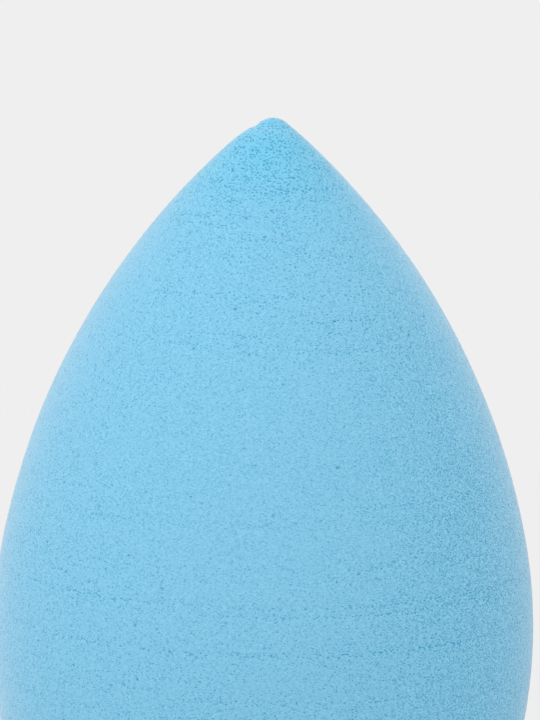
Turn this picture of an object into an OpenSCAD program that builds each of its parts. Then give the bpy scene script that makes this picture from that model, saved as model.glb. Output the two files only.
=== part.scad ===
// Teardrop makeup sponge: one block of open-cell foam, ground to shape on a turning spindle.
// The foot stands on the plane z = 0, and the axis of turning is Z. Lengths are millimetres.

/* [Body] */
// Widest diameter, round the belly
body_d = 40; // [34:0.5:48]
// Full height, from the flat foot to the top of the nub
body_h = 60; // [50:0.5:75]
// Height of the widest ring above the foot
belly_h = 21.8; // [17:0.2:26]
// Diameter of the flat foot, where the sponge was held while it was ground
foot_d = 9; // [5:0.5:14]

/* [Side curve] */
// Radius of the side round the belly, on the cut through the axis
belly_r = 38; // [32:0.5:46]
// How far above the widest ring the belly's curve hands over to the longer flank
belly_rise = 7.5; // [4:0.5:12]
// Radius of the round tip, where the flanks run together
tip_r = 3.6; // [2:0.1:6]

/* [Nub] */
// Radius of the small nub that the last touch of the grinding wheel left on the tip
nub_r = 1.7; // [1.4:0.1:2]
// How far the nub stands above the round tip
nub_rise = 0.43; // [0.3:0.01:0.6]
// How far the nub sits to the right of the axis
nub_shift = 0.27; // [0:0.01:0.4]

/* [Smoothness] */
// Straight steps that each arc of the side is drawn with
arc_steps = 14; // [8:1:32]
// Segments in a full turn
turn_steps = 180; // [60:12:240]

/* [Hidden] */
$fn = turn_steps;

body_r = body_d / 2;
foot_r = foot_d / 2;
// Top of the round tip, without the nub
crown_h = body_h - nub_rise;

// Direction from a to b, in degrees from the level
function direction(a, b) = atan2(b[1] - a[1], b[0] - a[0]);

// Point at the distance r from c, in the direction turn
function polar(c, r, turn) = c + r * [cos(turn), sin(turn)];

// Points of an arc round c, without its first one, which the arc before it ends on
function arc(c, r, from, to) = [for (i = [1:arc_steps]) polar(c, r, from + (to - from) * i / arc_steps)];

// The side is four arcs, each touching the next, with centres as [distance from the axis, height].
// The belly arc is upright at the widest ring, so its centre is level with that ring.
belly_c = [body_r - belly_r, belly_h];
// The tip arc is level at the crown, so its centre is on the axis.
tip_c = [0, crown_h - tip_r];

// The flank arc starts where the belly arc ends, in line with it, and touches the tip arc.
flank_turn = asin(belly_rise / belly_r);
flank_start = polar(belly_c, belly_r, flank_turn);
flank_out = flank_start - tip_c;
flank_clear = flank_out * [cos(flank_turn), sin(flank_turn)] - tip_r;
flank_r = (flank_out * flank_out - pow(tip_r, 2)) / (2 * flank_clear);
flank_c = polar(flank_start, -flank_r, flank_turn);

// The heel arc touches the floor at the rim of the foot, and the belly arc from inside.
heel_out = foot_r - belly_c[0];
heel_r = (pow(belly_r, 2) - pow(heel_out, 2) - pow(belly_h, 2)) / (2 * (belly_r - belly_h));
heel_c = [foot_r, heel_r];

// The other directions, seen from the centres, in which arcs start and end
floor_turn = -90;
heel_turn = direction(belly_c, heel_c);
widest_turn = 0;
tip_turn = direction(flank_c, tip_c);
crown_turn = 90;

// Half of the cut through the axis, from the middle of the foot up to the crown
half_section = concat(
    [[0, 0], [foot_r, 0]],
    arc(heel_c, heel_r, floor_turn, heel_turn),
    arc(belly_c, belly_r, heel_turn, widest_turn),
    arc(belly_c, belly_r, widest_turn, flank_turn),
    arc(flank_c, flank_r, flank_turn, tip_turn),
    arc(tip_c, tip_r, tip_turn, crown_turn)
);

module turned_block() {
    rotate_extrude() polygon(half_section);
}

module grinding_nub() {
    translate([nub_shift, 0, body_h - nub_r]) sphere(r = nub_r);
}

module sponge_body() {
    color("skyblue") union() {
        turned_block();
        grinding_nub();
    }
}

sponge_body();
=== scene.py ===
# %% [markdown]
# # A ground foam make-up sponge
# The object is one block of open-cell polyurethane foam, ground to a teardrop while it turns on a
# spindle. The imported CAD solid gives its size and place. This lesson gives it what a close look shows:
# an even skin of small facets, low swells, rings left by the wheel, thousands of open cells, and a soft
# matt finish.

# %% Load the frame
import math

import bmesh
import bpy
import numpy as np
from mathutils import Matrix, Vector, noise
from mathutils.kdtree import KDTree


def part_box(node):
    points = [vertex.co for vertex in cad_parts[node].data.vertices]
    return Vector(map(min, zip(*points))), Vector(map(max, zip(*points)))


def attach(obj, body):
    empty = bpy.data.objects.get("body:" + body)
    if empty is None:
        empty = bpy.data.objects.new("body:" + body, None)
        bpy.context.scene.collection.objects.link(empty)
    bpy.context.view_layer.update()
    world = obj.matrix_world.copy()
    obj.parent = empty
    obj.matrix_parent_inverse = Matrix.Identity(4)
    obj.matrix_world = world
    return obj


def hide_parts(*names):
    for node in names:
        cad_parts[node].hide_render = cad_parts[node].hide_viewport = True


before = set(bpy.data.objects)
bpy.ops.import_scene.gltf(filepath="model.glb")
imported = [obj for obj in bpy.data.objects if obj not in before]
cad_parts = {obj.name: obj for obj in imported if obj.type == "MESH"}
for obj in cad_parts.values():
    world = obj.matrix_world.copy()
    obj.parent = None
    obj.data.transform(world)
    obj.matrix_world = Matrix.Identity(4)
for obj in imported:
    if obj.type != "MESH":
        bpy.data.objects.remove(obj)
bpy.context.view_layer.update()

low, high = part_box("sponge_body")
print("CAD sponge, mm:", [round(1000 * side, 2) for side in high - low])

# %% [markdown]
# ## The block
# Blender counts in metres here, and foam is easier to think about in millimetres. The block is modelled
# in millimetres and shrunk once at the end. The driving sizes come from the frame's box, so the
# lesson's sponge follows the CAD sponge. The other sizes of the side curve were read off a sponge 40 mm
# across and 60 mm tall, and two scales fit them to this one: wide for sizes across, tall for heights.

# %% Sizes of the block, in millimetres
MM = 0.001
DESIGN_R = 20
DESIGN_H = 60

body_r = (high.x - low.x) / 2 / MM
body_h = (high.z - low.z) / MM
wide = body_r / DESIGN_R
tall = body_h / DESIGN_H

belly_h = 21.8 * tall
foot_r = 4.5 * wide
belly_r = 38 * wide
belly_rise = 7.5 * tall
tip_r = 3.6 * tall
crown_h = body_h - 0.43 * tall
nub_r = 1.5 * tall
nub_shift = 0.2 * wide
# The nub is built this much too tall, because the smoothing below wears it down
nub_proud = 0.04
print(f"body {2 * body_r:.1f} across, {body_h:.1f} tall, widest {belly_h:.1f} above the foot")

# %% [markdown]
# The side of a turned block is a chain of arcs, each touching the next: a heel that rolls up from the
# flat foot, the belly, the long flank and the round tip. The centres follow from the radii, because two
# arcs that touch have their centres in line with the point where they meet.

# %% Centres and turns of the four arcs
def on_circle(centre, radius, turn):
    """Point of the cut through the axis, as (distance from the axis, height)."""
    return centre + radius * np.array([math.cos(turn), math.sin(turn)])


def turn_towards(start, end):
    return math.atan2(end[1] - start[1], end[0] - start[0])


belly_c = np.array([body_r - belly_r, belly_h])
tip_c = np.array([0, crown_h - tip_r])

flank_turn = math.asin(belly_rise / belly_r)
flank_start = on_circle(belly_c, belly_r, flank_turn)
flank_out = flank_start - tip_c
flank_way = np.array([math.cos(flank_turn), math.sin(flank_turn)])
flank_r = (flank_out @ flank_out - tip_r**2) / (2 * (flank_out @ flank_way - tip_r))
flank_c = on_circle(flank_start, -flank_r, flank_turn)
tip_turn = turn_towards(flank_c, tip_c)

heel_out = foot_r - belly_c[0]
heel_r = (belly_r**2 - heel_out**2 - belly_h**2) / (2 * (belly_r - belly_h))
heel_c = np.array([foot_r, heel_r])
heel_turn = turn_towards(belly_c, heel_c)
print(f"flank radius {flank_r:.1f}, heel radius {heel_r:.1f}")

# %% [markdown]
# A profile can be typed in as points, drawn as a curve, or turned. Spin does both steps here: a single
# vertex is spun round each arc's centre to draw the profile, and the finished profile is spun round the
# axis, as the foam block itself turned against the grinding wheel. use_merge closes the last step onto
# the first.

# %% Spin the profile, then the block
ARC_STEPS = 60
TURN_STEPS = 360


def spin_arc(bm, corner, centre, start, end):
    """Draws an arc from the vertex corner and returns its last vertex."""
    made = bmesh.ops.spin(
        bm, geom=[corner], cent=(centre[0], 0, centre[1]), axis=(0, -1, 0), angle=end - start, steps=ARC_STEPS
    )
    return [item for item in made["geom_last"] if isinstance(item, bmesh.types.BMVert)][0]


def turned_block():
    bm = bmesh.new()
    rim = bm.verts.new((foot_r, 0, 0))
    middle = bmesh.ops.extrude_vert_indiv(bm, verts=[rim])["verts"][0]
    middle.co = (0, 0, 0)
    end = spin_arc(bm, rim, heel_c, -math.pi / 2, heel_turn)
    end = spin_arc(bm, end, belly_c, heel_turn, flank_turn)
    end = spin_arc(bm, end, flank_c, flank_turn, tip_turn)
    end = spin_arc(bm, end, tip_c, tip_turn, math.pi / 2)
    end.co.x = 0
    profile = bm.verts[:] + bm.edges[:]
    bmesh.ops.spin(
        bm, geom=profile, cent=(0, 0, 0), axis=(0, 0, 1), angle=2 * math.pi, steps=TURN_STEPS, use_merge=True
    )
    merge_distance = 1e-4
    bmesh.ops.remove_doubles(bm, verts=bm.verts, dist=merge_distance)
    bmesh.ops.recalc_face_normals(bm, faces=bm.faces)
    return bm


block = turned_block()
print("turned block:", len(block.verts), "vertices,", len(block.faces), "faces")

# %% [markdown]
# The grinding wheel left a small nub on the tip, a little off the axis. On its left it stands behind a
# shallow crease, and on its right it runs straight on into the flank. Two balls of one size and a hull
# round them give that form: one is the nub, and the other sits further down, where its side touches the
# flank's own line.

# %% Add the nub
NUB_DIVISIONS = 4

nub_c = np.array([nub_shift, body_h + nub_proud - nub_r])
root_c = on_circle(tip_c, tip_r - nub_r, tip_turn)
nub = bmesh.new()
for ball_c in (nub_c, root_c):
    ball = bmesh.ops.create_icosphere(nub, subdivisions=NUB_DIVISIONS, radius=nub_r)
    bmesh.ops.translate(nub, verts=ball["verts"], vec=(ball_c[0], 0, ball_c[1]))
hull = bmesh.ops.convex_hull(nub, input=nub.verts)
bmesh.ops.delete(nub, geom=hull["geom_interior"], context="VERTS")
nub_mesh = bpy.data.meshes.new("nub")
nub.to_mesh(nub_mesh)
nub.free()
block.from_mesh(nub_mesh)
print("nub at", nub_c.round(2), "and its root at", root_c.round(2))

# %% [markdown]
# A spun mesh has needle-thin faces at its poles, and the nub still overlaps it. One voxel remesh cures
# both: it joins the shells into one skin of small, even squares, which can be dented anywhere. A few
# rounds of smoothing then take away the steps that the voxels leave.

# %% Remesh to an even skin
SKIN_STEP = 0.13

sponge_mesh = bpy.data.meshes.new("sponge_foam")
block.to_mesh(sponge_mesh)
block.free()
sponge = bpy.data.objects.new("sponge_foam", sponge_mesh)
bpy.context.scene.collection.objects.link(sponge)


def apply_modifiers(piece):
    """Bakes the piece's modifiers into a new mesh of its own."""
    bpy.context.view_layer.update()
    done = bpy.data.meshes.new_from_object(piece.evaluated_get(bpy.context.evaluated_depsgraph_get()))
    piece.modifiers.clear()
    piece.data = done


skin = sponge.modifiers.new("even skin", "REMESH")
skin.mode = "VOXEL"
skin.voxel_size = SKIN_STEP
skin.use_smooth_shade = True
settle = sponge.modifiers.new("settle", "SMOOTH")
settle.factor = 0.5
settle.iterations = 6
apply_modifiers(sponge)
print("even skin:", len(sponge.data.vertices), "vertices,", len(sponge.data.polygons), "faces")

# %% [markdown]
# ## Relief
# Everything from here moves the vertices of the skin along its normals, all at once as numbers. Two
# numbers per vertex help to lay out the marks: its height, and its azimuth, the angle round the axis, 0
# at the front (-Y) and growing to the right.

# %% Read all the vertices at once
def places_of(mesh):
    flat = np.empty(3 * len(mesh.vertices), np.float32)
    mesh.vertices.foreach_get("co", flat)
    return flat.reshape(-1, 3).astype(float)


def normals_of(mesh):
    flat = np.empty(3 * len(mesh.vertices), np.float32)
    mesh.vertex_normals.foreach_get("vector", flat)
    return flat.reshape(-1, 3).astype(float)


def azimuth_of(points):
    return np.degrees(np.arctan2(points[:, 0], -points[:, 1]))


place = places_of(sponge.data)
outward = normals_of(sponge.data)
height = place[:, 2]
azimuth = azimuth_of(place)
print("skin box, mm:", place.min(0).round(2), place.max(0).round(2))

# %% [markdown]
# No ground foam is perfectly round. The wheel presses the soft block away, and it springs back into low
# swells of a few hundredths of a millimetre. A sum of long waves in random directions gives them. Its
# seed is fixed, so that every run makes the same sponge.

# %% Low swells
SWELL = 0.008
SWELL_SEED = 3
SWELL_WAVES = 24
swell_length = (6, 18)

# The flat beside the nub, on the camera's left
SHOULDER_AZIMUTH = -90
SHOULDER_REACH = 50
SHOULDER_BELOW_TIP = 1.15
SHOULDER_HALF_H = 0.4
SHOULDER_DEPTH = 0.03


def turned_from(azimuths, middle):
    """Degrees between each azimuth and the middle, the short way round."""
    return np.abs((azimuths - middle + 180) % 360 - 180)


def waves(points, lengths, count, chance):
    """Smooth relief of about -1 to 1: waves of random lengths and directions, laid over each other."""
    total = np.zeros(len(points))
    for _ in range(count):
        way = chance.normal(size=3)
        way /= np.linalg.norm(way)
        phase = chance.uniform(0, 2 * math.pi)
        total += np.sin(2 * math.pi * points @ way / chance.uniform(*lengths) + phase)
    return total / math.sqrt(count / 2)


relief = SWELL * waves(place, swell_length, SWELL_WAVES, np.random.default_rng(SWELL_SEED))
beside = turned_from(azimuth, SHOULDER_AZIMUTH) / SHOULDER_REACH
above = (height - body_h + SHOULDER_BELOW_TIP) / SHOULDER_HALF_H
relief -= SHOULDER_DEPTH * np.exp(-(beside**2) - above**2)
print("swells, mm:", relief.min().round(3), relief.max().round(3))

# %% [markdown]
# Where a coarse grain stood proud of the wheel it cut a ring, as a lathe tool does. The rings that show
# most are listed, and faint ones are strewn between them. None runs the whole way round with the
# same depth: the block turned a little off the wheel's axis, so each ring fades out towards the far
# side.

# %% Rings left by the wheel
RING_DEPTH = 0.025
RING_HALF_W = 0.15
RING_SEED = 11
FAINT_RINGS = 90

# Height on a sponge 60 mm tall, share of the full depth, azimuth of the ring's middle, reach to each side
strong_rings = [
    (24.35, 0.90, 5, 75),
    (27.60, 0.65, 0, 180),
    (27.00, 0.50, 15, 90),
    (33.10, 0.50, -10, 110),
    (55.20, 0.60, 40, 80),
    (46.55, 0.80, 25, 18),
    (48.15, 0.40, 0, 90),
    (50.85, 0.40, 0, 90),
    (52.85, 0.60, -45, 35),
    (45.65, 0.40, 0, 90),
    (30.10, 0.35, 0, 180),
    (56.65, 0.60, 50, 40),
    (21.00, 0.35, 0, 180),
]
# Between which limits the same four are drawn for a faint ring
faint_spans = [(0.06 * body_h, 0.98 * body_h), (0.1, 0.4), (-180, 180), (25, 130)]

chance = np.random.default_rng(RING_SEED)
rings = [(at * tall, *rest) for at, *rest in strong_rings]
for _ in range(FAINT_RINGS):
    rings.append([chance.uniform(*span) for span in faint_spans])

ring = np.zeros(len(place))
for at, depth, middle, reach in rings:
    fade = np.clip(1 - (turned_from(azimuth, middle) / reach) ** 2, 0, 1)
    ring = np.maximum(ring, depth * fade * np.exp(-(((height - at) / RING_HALF_W) ** 2)))
relief -= RING_DEPTH * ring
print(len(rings), "rings, deepest", (RING_DEPTH * ring.max()).round(3), "mm")

# %% [markdown]
# Grinding cuts the foam's bubbles open. Most of them are finer than a tenth of a millimetre and are
# left to the material. The larger ones are real pits here: their middles are drawn at random from the
# vertices, which lie evenly over the skin, and a KD-tree finds the vertices round each. Towards the tip
# the wheel tore more cells open, so more middles are drawn there. Cells are pressed a little flat, so
# the tree is stretched in Z.

# %% Open cells
CELLS = 2500
CELL_SEED = 29
CELL_DEPTH_SHARE = 0.27
CELL_FLATNESS = 1.4
cell_half_w = (0.11, 0.17)
cell_shrink = (0.7, 1)
# How much likelier a cell is at the tip, and how steeply that grows towards it
TIP_OPENNESS = 2.5
TIP_STEEPNESS = 4

# Azimuth of the widest cells, and their height on a sponge 60 mm tall
wide_cells = [
    (62, 46.3),
    (20, 29.8),
    (51.7, 29.0),
    (-22.5, 44.7),
    (-49.5, 57.9),
    (17, 37),
    (-46, 28.8),
    (-11, 47.4),
    (22.5, 46.6),
    (-13, 53.4),
]
WIDE_HALF_W = 0.18
# A degree moves a point of the side by less than a millimetre
MM_PER_DEGREE = 0.1

squeeze = np.array([1, 1, CELL_FLATNESS])
tree = KDTree(len(place))
for vertex, spot in enumerate(place * squeeze):
    tree.insert(spot, vertex)
tree.balance()

chance = np.random.default_rng(CELL_SEED)
weight = 1 + TIP_OPENNESS * np.clip(height / body_h, 0, 1) ** TIP_STEEPNESS
middles = chance.choice(len(place), CELLS, replace=False, p=weight / weight.sum())
cells = [(vertex, chance.uniform(*cell_half_w) * chance.uniform(*cell_shrink)) for vertex in middles]
for angle, at in wide_cells:
    away = MM_PER_DEGREE * np.abs(azimuth - angle) + np.abs(height - at * tall)
    cells.append((int(away.argmin()), WIDE_HALF_W))

sunk = np.zeros(len(place))
for vertex, half_w in cells:
    for _, touched, away in tree.find_range(place[vertex] * squeeze, half_w):
        deep = CELL_DEPTH_SHARE * half_w * (1 - (away / half_w) ** 2)
        sunk[touched] = max(sunk[touched], deep)
relief -= sunk
print(len(cells), "open cells, deepest", sunk.max().round(3), "mm")
print("cells take up", round(100 * (sunk > 0).mean()), "% of the skin")

# %% [markdown]
# Between the open cells the cut walls of the finest ones leave a grain like fine felt. Blender's own
# noise, read at each vertex, roughens the skin by about a hundredth of a millimetre. The wheel dragged
# the grain along its way, so it is shorter up and down than across. Where the sponge stands, its skin
# is pressed flat again.

# %% Felt-like grain
GRAIN = 0.25
GRAIN_DEPTH = 0.035
drag = np.array([1, 1, 2.2])

relief += GRAIN_DEPTH * np.array([noise.noise(spot) for spot in map(Vector, place * drag / GRAIN)])
place += outward * relief[:, None]
place[:, 2] = np.maximum(place[:, 2], 0)
print("relief, mm:", relief.min().round(3), relief.max().round(3))

# %% [markdown]
# The marks are kept on the vertices as attributes, because the material paints shade into the same rings
# and cells that the relief cuts. Then the block shrinks to metres.

# %% Keep the marks and shrink to metres
def keep(mesh, name, values):
    marks = mesh.attributes.new(name, "FLOAT", "POINT")
    marks.data.foreach_set("value", values.astype(np.float32))


deepest = CELL_DEPTH_SHARE * WIDE_HALF_W
keep(sponge.data, "ring", ring)
keep(sponge.data, "open_cell", np.clip(sunk / deepest, 0, 1))
sponge.data.vertices.foreach_set("co", (place * MM).astype(np.float32).ravel())
sponge.data.update()
print("sponge box, mm:", place.min(0).round(3), place.max(0).round(3))

# %% [markdown]
# A flat map of the skin lets its colours be baked later. The side unrolls like a label, azimuth across
# and the way up the profile upwards. The round tip and the foot, where a label would crumple, are two
# flat discs.

# %% Way up the profile
def arc_points(centre, radius, start, end):
    return [on_circle(centre, radius, turn) for turn in np.linspace(start, end, ARC_STEPS)]


def climb_of(points):
    """Angle of each point above the widest ring, seen from the middle of that ring."""
    return np.arctan2(points[:, 2] - belly_h, np.hypot(points[:, 0], points[:, 1]))


profile = np.array(
    arc_points(heel_c, heel_r, -math.pi / 2, heel_turn)
    + arc_points(belly_c, belly_r, heel_turn, flank_turn)
    + arc_points(flank_c, flank_r, flank_turn, tip_turn)
    + arc_points(tip_c, tip_r, tip_turn, math.pi / 2)
)
profile_climb = climb_of(np.insert(profile, 1, 0, axis=1))
profile_way = np.insert(np.cumsum(np.linalg.norm(np.diff(profile, axis=0), axis=1)), 0, 0)
profile_share = profile_way / profile_way[-1]
print(f"the profile is {profile_way[-1]:.1f} mm long from the foot's rim to the crown")

# %% Lay the skin flat
foot_margin = 0.5
tip_disc_r = 2.0
foot_disc_r = foot_r + foot_margin
tip_disc_middle = (0.25, 0.08)
foot_disc_middle = (0.75, 0.08)
DISC_HALF_W = 0.07
side_bottom = 0.17
side_top = 0.99
SEAM_MARGIN = 0.01


def face_of_each_corner(mesh):
    sizes = np.empty(len(mesh.polygons), np.int32)
    mesh.polygons.foreach_get("loop_total", sizes)
    return np.repeat(np.arange(len(sizes)), sizes), sizes


def lay_flat(mesh, spots):
    """Writes the map OFBake from the places of the vertices."""
    vertex = np.empty(len(mesh.loops), np.int32)
    mesh.loops.foreach_get("vertex_index", vertex)
    face, sizes = face_of_each_corner(mesh)
    corner = spots[vertex]
    middle = np.stack([np.bincount(face, corner[:, axis]) / sizes for axis in range(3)], 1)[face]

    turn = azimuth_of(corner) / 360 + 0.5
    turn += np.round(azimuth_of(middle) / 360 + 0.5 - turn)
    across = SEAM_MARGIN + (1 - 2 * SEAM_MARGIN) * turn
    up = side_bottom + (side_top - side_bottom) * np.interp(climb_of(corner), profile_climb, profile_share)
    flat = np.stack([across, up], 1)

    from_axis = np.hypot(middle[:, 0], middle[:, 1])
    above = middle[:, 2] > belly_h
    on_tip = above & (from_axis < tip_disc_r)
    on_foot = ~above & (from_axis < foot_disc_r)
    flat[on_tip] = tip_disc_middle + DISC_HALF_W / tip_disc_r * corner[on_tip, :2]
    flat[on_foot] = foot_disc_middle + DISC_HALF_W / foot_disc_r * corner[on_foot, :2]
    layer = mesh.uv_layers.new(name="OFBake")
    layer.uv.foreach_set("vector", flat.astype(np.float32).ravel())
    return flat


flat = lay_flat(sponge.data, place)
print("flat map from", flat.min(0).round(3), "to", flat.max(0).round(3))

# %% [markdown]
# ## The finish
# Colours are written as the hex values that a screen shows, and one function turns them into the linear
# numbers that Blender calculates with. One more function adds a node, so that a material reads as a
# list of steps.

# %% Colours and nodes
def linear(hex_colour):
    """A hex sRGB colour as Blender's linear red, green, blue and alpha."""
    parts = [int(hex_colour[i : i + 2], 16) / 255 for i in (1, 3, 5)]
    return tuple(p / 12.92 if p <= 0.04045 else ((p + 0.055) / 1.055) ** 2.4 for p in parts) + (1.0,)


def add_node(tree, kind, inputs={}, **settings):
    """Adds a node, sets its properties, and fills its inputs with values or links to other nodes."""
    node = tree.nodes.new(kind)
    for name, value in settings.items():
        setattr(node, name, value)
    for name, value in inputs.items():
        socket = node.inputs[name]
        if isinstance(value, bpy.types.NodeSocket):
            tree.links.new(value, socket)
        else:
            socket.default_value = value
    return node


def new_material(name):
    material = bpy.data.materials.new(name)
    material.use_nodes = True
    material.node_tree.nodes.clear()
    return material


# The Mix node has sockets for every kind of data under the same names, so the colour ones go by number
MIX_SHARE = 0
MIX_FROM = 6
MIX_TO = 7
MIXED = 2

# %% [markdown]
# Polyurethane foam is made of cells: bubbles a few tenths of a millimetre wide, which froze against
# each other. The ground face cuts them at every depth, so each shows as a small round mouth of its own
# width. A Voronoi pattern in three dimensions is made the same way, from points strewn in space. The
# distance to the nearest point, up to a limit, is a bubble that the skin cuts through. Two sizes of
# bubble do, pressed as flat as the modelled cells. Between them lies the felt-like grain, and the wheel
# drew long streaks over both.

# %% Patterns of the foam
# How far apart the bubbles lie, in millimetres
CELL = 0.22
LARGE_CELL = 0.5
# How wide a lump of the grain is. The real grain is finer, and is drawn as coarse as it needs to show.
FINE_GRAIN = 0.18
# How high a streak is, and how far it is drawn out along the wheel's way
STREAK = 0.8
streak_stretch = (0.15, 0.15, 1)

foam = new_material("polyurethane foam, ground")
tree = foam.node_tree
spot = add_node(tree, "ShaderNodeTexCoord").outputs["Object"]
in_mm = add_node(tree, "ShaderNodeVectorMath", {0: spot, "Scale": 1 / MM}, operation="SCALE").outputs[0]
pressed, dragged, drawn_out = [
    add_node(tree, "ShaderNodeVectorMath", {0: in_mm, 1: tuple(stretch)}, operation="MULTIPLY").outputs[0]
    for stretch in (squeeze, drag, streak_stretch)
]
bubble, large_bubble = [
    add_node(tree, "ShaderNodeTexVoronoi", {"Vector": pressed, "Scale": 1 / apart}).outputs["Distance"]
    for apart in (CELL, LARGE_CELL)
]
grain, streaks = [
    add_node(tree, "ShaderNodeTexNoise", {"Vector": where, "Scale": 1 / size, "Detail": 1.0}).outputs["Fac"]
    for where, size in ((dragged, FINE_GRAIN), (drawn_out, STREAK))
]
ring_mark, cell_mark = [
    add_node(tree, "ShaderNodeAttribute", attribute_name=name).outputs["Fac"]
    for name in ("ring", "open_cell")
]
print("bubbles", CELL, "and", LARGE_CELL, "mm apart")

# %% [markdown]
# The cells aren't equally open everywhere. The picture shows more of them on the tip, along the rings
# and on both flanks, and fewer in a calm strip a little left of the middle. They look shallow on the
# front of the belly, and a little calmer on the nub itself. So the material needs to know where a point
# lies: how high, how far aside, and how far from the belly's front. A Map Range node eases each of
# these from 0 to 1.

# %% Zones of the sponge
# Each zone is where a look begins and where it is full. These two are heights.
tip_zone = (0.84 * body_h, body_h)
nub_zone = (0.965 * body_h, body_h)
# What the nub adds to the tip's share, which is a loss
NUB_CALM = -0.45
# Where the calm strip is, and how far from it the flanks lie
calm_x = -0.2 * body_r
# The flanks get more mouths and wider grain tones, which is painted shade and painted light where the light
# grazes them
flank_zone = (0.35 * body_r, 1.2 * body_r)
# The middle of the belly's front, and how far from it the mouths get deep
belly_front = (-0.1 * body_r, -0.95 * body_r, 0.59 * body_h)
front_zone = (0.2 * body_r, 0.9 * body_r)
# Which part of the noise turns from dull to pale
felt_zone = (0.25, 0.75)

along = add_node(tree, "ShaderNodeSeparateXYZ", {"Vector": in_mm}).outputs
aside = add_node(tree, "ShaderNodeMath", {0: along["X"], 1: calm_x}, operation="SUBTRACT").outputs[0]
off_strip = add_node(tree, "ShaderNodeMath", {0: aside}, operation="ABSOLUTE").outputs[0]
off_front = add_node(
    tree, "ShaderNodeVectorMath", {0: in_mm, 1: belly_front}, operation="DISTANCE"
).outputs["Value"]

eased = []
for value, (zone_start, zone_end) in (
    (along["Z"], tip_zone),
    (along["Z"], nub_zone),
    (off_strip, flank_zone),
    (off_front, front_zone),
    (grain, felt_zone),
):
    limits = {"Value": value, "From Min": zone_start, "From Max": zone_end}
    eased.append(add_node(tree, "ShaderNodeMapRange", limits, interpolation_type="SMOOTHSTEP").outputs[0])
tipward, nubward, flankward, frontless, felted = eased
tipward = add_node(
    tree, "ShaderNodeMath", {0: nubward, 1: NUB_CALM, 2: tipward}, operation="MULTIPLY_ADD"
).outputs[0]
print(len(eased), "zones, the tip's from", round(tip_zone[0], 1), "to", round(tip_zone[1], 1), "mm up")

# %% [markdown]
# Each mark adds its share to the distance from a bubble's middle. A share below zero pulls the distance
# down, so more of every bubble is open. Where the distance falls from the rim to the floor, the mouth
# deepens.

# %% Mouths of the cells
# Distances where a mouth begins and where it is deepest, as shares of how far the bubbles lie apart
MOUTH_RIM = 0.43
MOUTH_FLOOR = 0.11
LARGE_RIM = 0.19
LARGE_FLOOR = 0.1
# What each mark adds to that distance
STREAK_PULL = 0.1
RING_PULL = -0.16
TIP_PULL = -0.12
FLANK_PULL = -0.11

nearer = bubble
for mark, pull in (
    (streaks, STREAK_PULL),
    (ring_mark, RING_PULL),
    (tipward, TIP_PULL),
    (flankward, FLANK_PULL),
):
    nearer = add_node(
        tree, "ShaderNodeMath", {0: mark, 1: pull, 2: nearer}, operation="MULTIPLY_ADD"
    ).outputs[0]

mouth, large_mouth = [
    add_node(
        tree,
        "ShaderNodeMapRange",
        {"Value": distance, "From Min": rim, "From Max": bottom},
        interpolation_type="SMOOTHSTEP",
    ).outputs[0]
    for distance, rim, bottom in (
        (nearer, MOUTH_RIM, MOUTH_FLOOR),
        (large_bubble, LARGE_RIM, LARGE_FLOOR),
    )
]
print("mouths reach", CELL * MOUTH_RIM, "and", LARGE_CELL * LARGE_RIM, "mm from a bubble's middle")

# %% Depth of the painted shade in the mouths
# Shares of the full painted shade: on the belly's front, and what is added off it, on the tip and along the
# rings
FRONT_SHARE = 0.48
MORE_SHARE = 0.36
TIP_SHARE = 0.16
RING_SHARE = 0.2
# The modelled pits get painted shade, darker towards their middles by this power of their depth
PIT_STEEPNESS = 1.7

mouth_shade_depth = FRONT_SHARE
for mark, share in ((frontless, MORE_SHARE), (tipward, TIP_SHARE), (ring_mark, RING_SHARE)):
    mouth_shade_depth = add_node(
        tree, "ShaderNodeMath", {0: mark, 1: share, 2: mouth_shade_depth}, operation="MULTIPLY_ADD"
    ).outputs[0]

mouth_shade_share, large_mouth_shade_share, pit_shade_share = [
    add_node(tree, "ShaderNodeMath", {0: mark, 1: by}, operation=how).outputs[0]
    for mark, by, how in (
        (mouth, mouth_shade_depth, "MULTIPLY"),
        (large_mouth, mouth_shade_depth, "MULTIPLY"),
        (cell_mark, PIT_STEEPNESS, "POWER"),
    )
]
print("mouths on the belly's front show", FRONT_SHARE, "of their depth")

# %% [markdown]
# The foam is dyed through, a light sky blue. The grain mixes a dull and a paler tone of it. On the flanks
# the two lie further apart, which is painted shade and painted light: the relief's shading where the light
# grazes the felt. Towards the tip every colour loses some red. The mouths are painted shade, deeper and
# more saturated than the skin, where light falls into the open cells and bounces between blue walls before
# it leaves, and the modelled pits are painted darkest.

# %% Colours of the foam
dull_colour = linear("#79BFE1")
felt_colour = linear("#90D0ED")
# The flanks' tones lie further apart: painted shade and painted light, the relief's shading where the light
# grazes the felt
flank_dull_and_painted_shade_colour = linear("#61AFD7")
flank_felt_and_painted_light_colour = linear("#97D8F1")
# Towards the tip every colour loses some red
tip_tint = linear("#E8FFFF")
# Painted shade: the open cells' mouths, darker and more saturated than the skin, and the modelled pits
# darkest
mouth_shade_colour = linear("#2C99C5")
tip_mouth_shade_colour = linear("#109CC9")
pit_shade_colour = linear("#1676AB")

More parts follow.
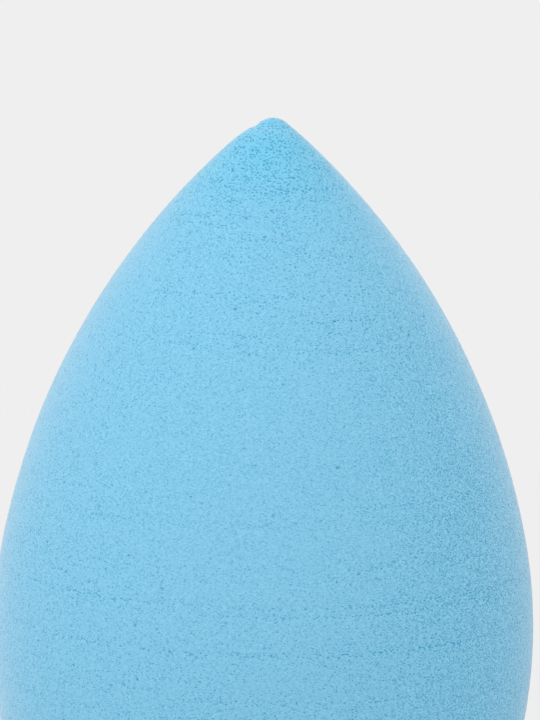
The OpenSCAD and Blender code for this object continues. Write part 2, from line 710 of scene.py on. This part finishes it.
valley, ridge, mouth_shade_tone = [
    add_node(
        tree, "ShaderNodeMix", {MIX_SHARE: zone, MIX_FROM: usual, MIX_TO: changed}, data_type="RGBA"
    ).outputs[MIXED]
    for zone, usual, changed in (
        (flankward, dull_colour, flank_dull_and_painted_shade_colour),
        (flankward, felt_colour, flank_felt_and_painted_light_colour),
        (tipward, mouth_shade_colour, tip_mouth_shade_colour),
    )
]
colour = valley
for share, layer, how in (
    (felted, ridge, "MIX"),
    (tipward, tip_tint, "MULTIPLY"),
    (mouth_shade_share, mouth_shade_tone, "MIX"),
    (large_mouth_shade_share, mouth_shade_colour, "MIX"),
    (pit_shade_share, pit_shade_colour, "MIX"),
):
    colours = {MIX_SHARE: share, MIX_FROM: colour, MIX_TO: layer}
    colour = add_node(tree, "ShaderNodeMix", colours, data_type="RGBA", blend_type=how).outputs[MIXED]
print("foam colours from", dull_colour, "to", felt_colour)

# %% [markdown]
# The same bubbles and grain also tilt the surface, as bump. Foam has no gloss: light enters the open
# cells and comes back scattered, so roughness is high and the sharp reflection weak. Its cut cell walls
# stand up like a short nap, and seen along the skin they catch the light and turn pale. That is what
# sheen is for.

# %% Foam relief and shine
BUMP_DEPTH = 0.01

raised = add_node(tree, "ShaderNodeMath", {0: grain, 1: mouth}, operation="SUBTRACT").outputs[0]
bump = add_node(
    tree, "ShaderNodeBump", {"Height": raised, "Strength": 1.0, "Distance": BUMP_DEPTH * MM}
).outputs[0]
shader = add_node(
    tree,
    "ShaderNodeBsdfPrincipled",
    {
        "Base Color": colour,
        "Normal": bump,
        "Roughness": 0.9,
        "Specular IOR Level": 0.05,
        "Sheen Weight": 0.6,
        "Sheen Roughness": 0.4,
    },
)
add_node(tree, "ShaderNodeOutputMaterial", {"Surface": shader.outputs[0]})
sponge.data.materials.clear()
sponge.data.materials.append(foam)
print("foam:", len(tree.nodes), "nodes")

# %% [markdown]
# ## The studio
# The sponge stands on a wide sheet of pale matt paper, under an even white surround and one large soft
# lamp from the upper left. The camera sees the surround as paler than it lights, so the lamps needn't
# be raised to make the background pale.

# %% Paper floor
FLOOR_HALF_W = 20
paper_colour = linear("#E4E4E4")

paper = new_material("matt paper")
paper_face = add_node(paper.node_tree, "ShaderNodeBsdfDiffuse", {"Color": paper_colour})
add_node(paper.node_tree, "ShaderNodeOutputMaterial", {"Surface": paper_face.outputs[0]})
sheet = bmesh.new()
bmesh.ops.create_grid(sheet, x_segments=1, y_segments=1, size=FLOOR_HALF_W)
floor_mesh = bpy.data.meshes.new("floor")
sheet.to_mesh(floor_mesh)
sheet.free()
floor_mesh.materials.append(paper)
floor = bpy.data.objects.new("floor", floor_mesh)
bpy.context.scene.collection.objects.link(floor)
print("floor:", 2 * FLOOR_HALF_W, "m wide")

# %% White surround
SURROUND = 0.89
backdrop_colour = linear("#EFEFEF")

world = bpy.data.worlds.new("studio")
world.use_nodes = True
bpy.context.scene.world = world
tree = world.node_tree
tree.nodes.clear()
seen = add_node(tree, "ShaderNodeLightPath").outputs["Is Camera Ray"]
light = add_node(tree, "ShaderNodeBackground", {"Color": (1, 1, 1, 1), "Strength": SURROUND})
backdrop = add_node(tree, "ShaderNodeBackground", {"Color": backdrop_colour, "Strength": 1.0})
either = add_node(
    tree, "ShaderNodeMixShader", {"Fac": seen, 1: light.outputs[0], 2: backdrop.outputs[0]}
)
add_node(tree, "ShaderNodeOutputWorld", {"Surface": either.outputs[0]})
print("surround strength", SURROUND)

# %% Soft lamp
KEY_STRENGTH = 0.8
KEY_ANGLE = 60
key_from = Vector((-0.43, -0.25, 0.87))

key = bpy.data.lights.new("key", "SUN")
key.energy = KEY_STRENGTH
key.angle = math.radians(KEY_ANGLE)
key_object = bpy.data.objects.new("key", key)
key_object.rotation_euler = key_from.to_track_quat("Z", "Y").to_euler()
bpy.context.scene.collection.objects.link(key_object)
bpy.context.scene.view_settings.view_transform = "Standard"
print("key lamp strength", KEY_STRENGTH)

# %% [markdown]
# The photograph is taken close, from a little above the tip, and it cuts the sponge off at the sides
# and below. The camera's lens, tilt and small roll come from fitting the block's outline to the outline
# in the picture. The distance can't be read from the picture and is a usual one for such a close-up.

# %% Camera
PICTURE_W = 540
PICTURE_H = 720
FOCAL_PX = 3566.4
SENSOR = 36
CAMERA_BACK = 260
CAMERA_ABOVE_TIP = 18
PITCH = math.radians(7.843)
ROLL = 0.01423
AXIS_PX = 267.1

camera = bpy.data.cameras.new("camera")
camera.sensor_width = SENSOR
camera.lens = FOCAL_PX / PICTURE_H * SENSOR
camera.clip_start = 0.01
camera_object = bpy.data.objects.new("camera", camera)
bpy.context.scene.collection.objects.link(camera_object)
aside = (PICTURE_W / 2 - AXIS_PX) / FOCAL_PX * CAMERA_BACK
camera_object.location = MM * Vector((aside, -CAMERA_BACK, body_h + CAMERA_ABOVE_TIP))
aim = Matrix.Rotation(math.pi / 2 - PITCH, 4, "X") @ Matrix.Rotation(ROLL, 4, "Z")
camera_object.rotation_euler = aim.to_euler()
bpy.context.scene.camera = camera_object
print(f"lens {camera.lens:.0f} mm, {CAMERA_BACK} mm in front of the axis")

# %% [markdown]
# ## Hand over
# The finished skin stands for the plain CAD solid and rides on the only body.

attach(sponge, "root")
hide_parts("sponge_body")
